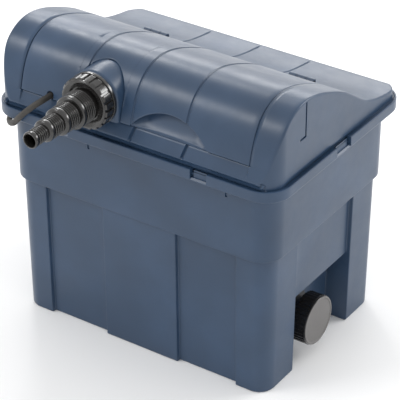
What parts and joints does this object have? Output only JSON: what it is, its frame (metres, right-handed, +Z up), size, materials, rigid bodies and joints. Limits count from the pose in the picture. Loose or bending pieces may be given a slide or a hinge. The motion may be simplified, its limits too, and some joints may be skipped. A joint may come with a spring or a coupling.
{
  "type": "flow-through pond filter",
  "caption": "Flow-through pond filter box with a humped lid over a built-in UV clarifier, stepped hose tail at the front and a drain cap in a side alcove.",
  "frame": {"origin": "centre of the tank's footprint, on the ground", "axes": "+Z up, -Y the front with the hose inlet, +X the end with the drain cap"},
  "size_m": [0.4122, 0.5005, 0.3636],
  "materials": {
    "blue_plastic": "satin moulded polypropylene, blue grey",
    "black_abs": "glossy moulded ABS",
    "black_pvc": "satin extruded PVC",
    "grey_plastic": "satin moulded polypropylene, grey",
    "coarse_foam": "open-cell coarse filter foam",
    "fine_foam": "open-cell fine filter foam",
    "ceramic": "unglazed ceramic",
    "seal_rubber": "soft moulded seal rubber",
    "quartz": "clear quartz glass",
    "steel": "stainless steel",
    "cable_rubber": "matt rubber-sheathed cable"
  },
  "bodies": {
    "tank": {"cable_coil": "cable_rubber", "cable_lower": "cable_rubber", "cable_tail": "cable_rubber", "ceramic_rings": "ceramic", "drain_gasket": "seal_rubber", "drain_lock_nut": "black_abs", "drain_stub": "black_abs", "foam_block_1": "coarse_foam", "foam_block_2": "coarse_foam", "foam_block_3": "fine_foam", "foam_block_4": "fine_foam", "foam_handle_1": "grey_plastic", "foam_handle_2": "grey_plastic", "foam_handle_3": "grey_plastic", "foam_handle_4": "grey_plastic", "inlet_grid": "grey_plastic", "media_basket": "grey_plastic", "outlet_gasket": "seal_rubber", "outlet_grid": "grey_plastic", "outlet_lock_nut": "black_abs", "outlet_spigot": "black_abs", "plug_pins": "steel", "power_plug": "cable_rubber", "tank_shell": "blue_plastic"},
    "lid": {"lid_shell": "blue_plastic", "lid_seal": "seal_rubber", "hinge_pins": "steel", "uvc_tube": "black_pvc", "inlet_collar": "blue_plastic", "uvc_outlet": "black_pvc", "outlet_grommet": "seal_rubber", "quartz_sleeve": "quartz", "uvc_lamp": "quartz", "lamp_socket": "ceramic", "uvc_head": "black_pvc", "ballast": "steel", "head_o_ring": "seal_rubber", "tube_clamp_left": "grey_plastic", "tube_clamp_right": "grey_plastic", "clamp_screws": "steel", "cable_gland": "black_abs", "strain_relief": "cable_rubber", "cable_upper": "cable_rubber"},
    "uvc_cover": {"cover_shell": "blue_plastic"},
    "bayonet_ring": {"lock_ring": "black_abs"},
    "tail": {"hose_tail": "black_abs", "hose_seal": "seal_rubber"},
    "nut": {"union_nut": "black_abs"},
    "cap_seal": {"drain_seal": "seal_rubber"},
    "cap": {"drain_cap": "black_abs"}
  },
  "joints": [
    {"name": "lid_lift", "type": "slide", "parent": "tank", "child": "lid", "axis": [0, 0, 1], "range_m": [0, 0.12]},
    {"name": "cover_hinge", "type": "hinge", "parent": "lid", "child": "uvc_cover", "pos_m": [0, 0.0586, 0.3062], "axis": [-1, 0, 0], "range_deg": [0, 95]},
    {"name": "ring_turn", "type": "hinge", "parent": "lid", "child": "bayonet_ring", "pos_m": [-0.086, -0.072, 0.3245], "axis": [1, 0, 0], "range_deg": [0, 30]},
    {"name": "tail_slide", "type": "slide", "parent": "lid", "child": "tail", "axis": [0, -1, 0], "range_m": [0, 0.0101]},
    {"name": "nut_turn", "type": "hinge", "parent": "tail", "child": "nut", "pos_m": [-0.047, -0.145, 0.3245], "axis": [0, -1, 0], "range_deg": [0, 900]},
    {"name": "cap_slide", "type": "slide", "parent": "tank", "child": "cap_seal", "axis": [1, 0, 0], "range_m": [0, 0.0101]},
    {"name": "cap_turn", "type": "hinge", "parent": "cap_seal", "child": "cap", "pos_m": [0.166, -0.0174, 0.0475], "axis": [1, 0, 0], "range_deg": [0, 900]}
  ],
  "couplings": [
    {"joint": "tail_slide", "follows": "nut_turn", "m_per_rad": 0.00063662},
    {"joint": "cap_slide", "follows": "cap_turn", "m_per_rad": 0.00063662}
  ]
}
